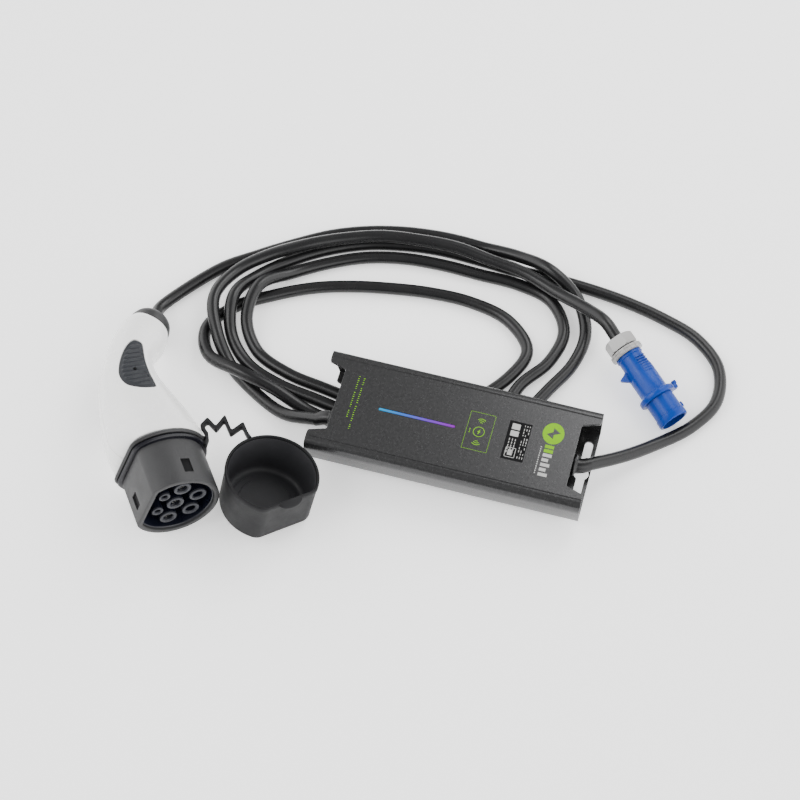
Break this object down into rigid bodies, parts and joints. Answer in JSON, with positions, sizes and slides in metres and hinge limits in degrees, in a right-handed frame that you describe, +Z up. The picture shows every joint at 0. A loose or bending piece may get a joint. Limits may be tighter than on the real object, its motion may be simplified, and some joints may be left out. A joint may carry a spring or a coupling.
{
  "type": "ev charger",
  "caption": "Portable electric-vehicle charger: pistol-grip connector with its dust cap, flat control box and small blue mains plug, joined by a coiled black cable.",
  "frame": {"origin": "on the floor, under the middle of the area that the connector, its cap and the control box take up", "axes": "+Z up from the floor; +X along the control box from its supply end to its vehicle end, where the long cable leaves"},
  "size_m": [0.4495, 0.3151, 0.0724],
  "materials": {
    "dark_aluminium": "satin",
    "white_shell": "semi-gloss",
    "grey_plastic": "satin",
    "grey_rubber": "matte",
    "slate_rubber": "matte",
    "black_rubber": "satin",
    "black_plastic": "matte",
    "blue_plastic": "satin",
    "pale_plastic": "satin",
    "plated_metal": "polished",
    "board_green": "satin",
    "copper": "satin",
    "light_window": "gloss"
  },
  "bodies": {
    "root": {"housing": "dark_aluminium", "handle_shell_left": "white_shell", "handle_shell_right": "white_shell", "nose_shroud": "grey_plastic", "flange_ring": "grey_plastic", "cable_collar": "grey_plastic", "dust_cap": "grey_rubber", "grip_pad_left": "slate_rubber", "grip_pad_right": "slate_rubber", "ev_cable": "black_rubber", "supply_cable": "black_rubber", "flange_seal": "black_rubber", "end_seal_supply": "black_rubber", "end_seal_vehicle": "black_rubber", "cable_gland_supply": "black_rubber", "cable_gland_vehicle": "black_rubber", "contact_carrier": "black_plastic", "end_plate_supply": "black_plastic", "end_plate_vehicle": "black_plastic", "relay_1": "black_plastic", "relay_2": "black_plastic", "supply_module": "black_plastic", "plug_body": "blue_plastic", "plug_sleeve": "blue_plastic", "pin_carrier": "blue_plastic", "gland_nut": "pale_plastic", "gland_ring": "pale_plastic", "supply_terminals": "pale_plastic", "vehicle_terminals": "pale_plastic", "contact_earth": "plated_metal", "contact_line": "plated_metal", "contact_neutral": "plated_metal", "contact_pilot": "plated_metal", "contact_proximity": "plated_metal", "pin_1": "plated_metal", "pin_2": "plated_metal", "pin_3": "plated_metal", "end_screw_supply_far": "plated_metal", "end_screw_supply_near": "plated_metal", "end_screw_vehicle_far": "plated_metal", "end_screw_vehicle_near": "plated_metal", "main_board": "board_green", "light_board": "board_green", "residual_current_coil": "copper", "light_bar": "light_window"}
  },
  "joints": []
}
